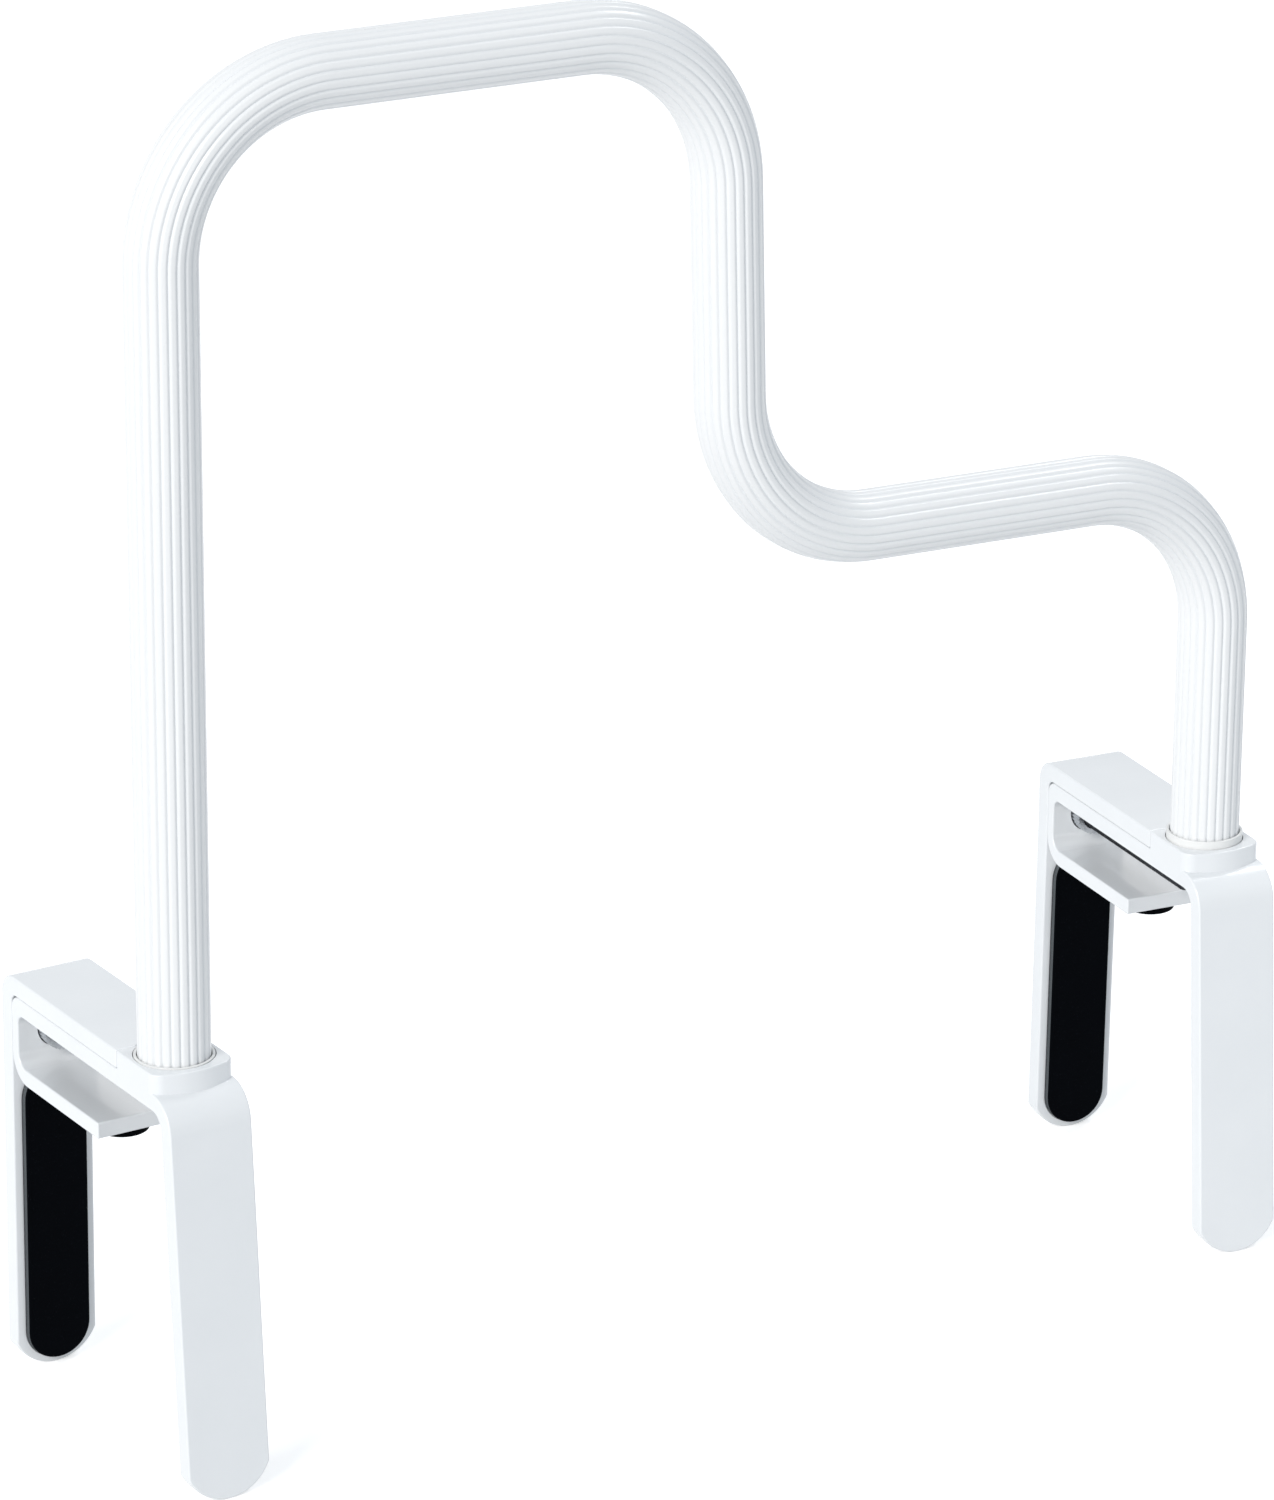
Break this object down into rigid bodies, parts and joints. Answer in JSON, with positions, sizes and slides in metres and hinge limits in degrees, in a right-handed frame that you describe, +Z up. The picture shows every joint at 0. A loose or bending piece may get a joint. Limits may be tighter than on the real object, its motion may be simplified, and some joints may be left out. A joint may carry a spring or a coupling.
{
  "type": "bathtub safety rail",
  "caption": "Stepped grab rail of white fluted tube on a pair of screw clamps with rubber pads that grip a bath wall.",
  "frame": {"origin": "under the middle of the whole part, level with the lower ends of the legs", "axes": "+X along the bath wall from the high post to the low post, +Y from the fixed front legs to the sliding rear legs, +Z up"},
  "size_m": [0.4406, 0.1352, 0.4759],
  "materials": {
    "white_tube": "satin white enamel on a fluted tube",
    "white_casting": "gloss white enamel",
    "black_rubber": "matte black",
    "black_steel": "blackened",
    "zinc_steel": "zinc plated",
    "white_nylon": "satin moulded",
    "grey_nylon": "satin moulded"
  },
  "bodies": {
    "rail": {"grip_tube": "white_tube", "left_tube_plug": "grey_nylon", "left_post_bolt": "zinc_steel", "left_post_washer": "zinc_steel", "right_tube_plug": "grey_nylon", "right_post_bolt": "zinc_steel", "right_post_washer": "zinc_steel"},
    "left_clamp": {"left_front_bracket": "white_casting", "left_post_bush": "white_nylon", "left_threaded_insert": "zinc_steel", "left_rim_pad": "black_rubber", "left_front_pad": "black_rubber"},
    "left_jaw": {"left_rear_bracket": "white_casting", "left_rear_pad": "black_rubber", "left_screw_washer": "zinc_steel"},
    "left_screw": {"left_clamp_screw": "black_steel", "left_retaining_ring": "black_steel"},
    "right_clamp": {"right_front_bracket": "white_casting", "right_post_bush": "white_nylon", "right_threaded_insert": "zinc_steel", "right_rim_pad": "black_rubber", "right_front_pad": "black_rubber"},
    "right_jaw": {"right_rear_bracket": "white_casting", "right_rear_pad": "black_rubber", "right_screw_washer": "zinc_steel"},
    "right_screw": {"right_clamp_screw": "black_steel", "right_retaining_ring": "black_steel"}
  },
  "joints": [
    {"name": "left_clamp_swivel", "type": "hinge", "parent": "rail", "child": "left_clamp", "pos_m": [-0.20169, -0.03339, 0.145], "axis": [0, 0, 1], "range_deg": [-12.3, 7.7]},
    {"name": "left_jaw_slide", "type": "slide", "parent": "left_clamp", "child": "left_jaw", "axis": [-0.0401, 0.9992, 0], "range_m": [0, 0.06]},
    {"name": "left_screw_turn", "type": "hinge", "parent": "left_jaw", "child": "left_screw", "pos_m": [-0.20514, 0.05234, 0.126], "axis": [-0.0401, 0.9992, 0], "range_deg": [0, 14400]},
    {"name": "right_clamp_swivel", "type": "hinge", "parent": "rail", "child": "right_clamp", "pos_m": [0.19831, -0.03339, 0.145], "axis": [0, 0, 1], "range_deg": [-5.6, 14.4]},
    {"name": "right_jaw_slide", "type": "slide", "parent": "right_clamp", "child": "right_jaw", "axis": [0.0767, 0.9971, 0], "range_m": [0, 0.06]},
    {"name": "right_screw_turn", "type": "hinge", "parent": "right_jaw", "child": "right_screw", "pos_m": [0.20489, 0.05216, 0.126], "axis": [0.0767, 0.9971, 0], "range_deg": [0, 14400]}
  ],
  "couplings": [
    {"joint": "left_screw_turn", "follows": "left_jaw_slide", "rad_per_m": 4188.8},
    {"joint": "right_screw_turn", "follows": "right_jaw_slide", "rad_per_m": 4188.8}
  ]
}
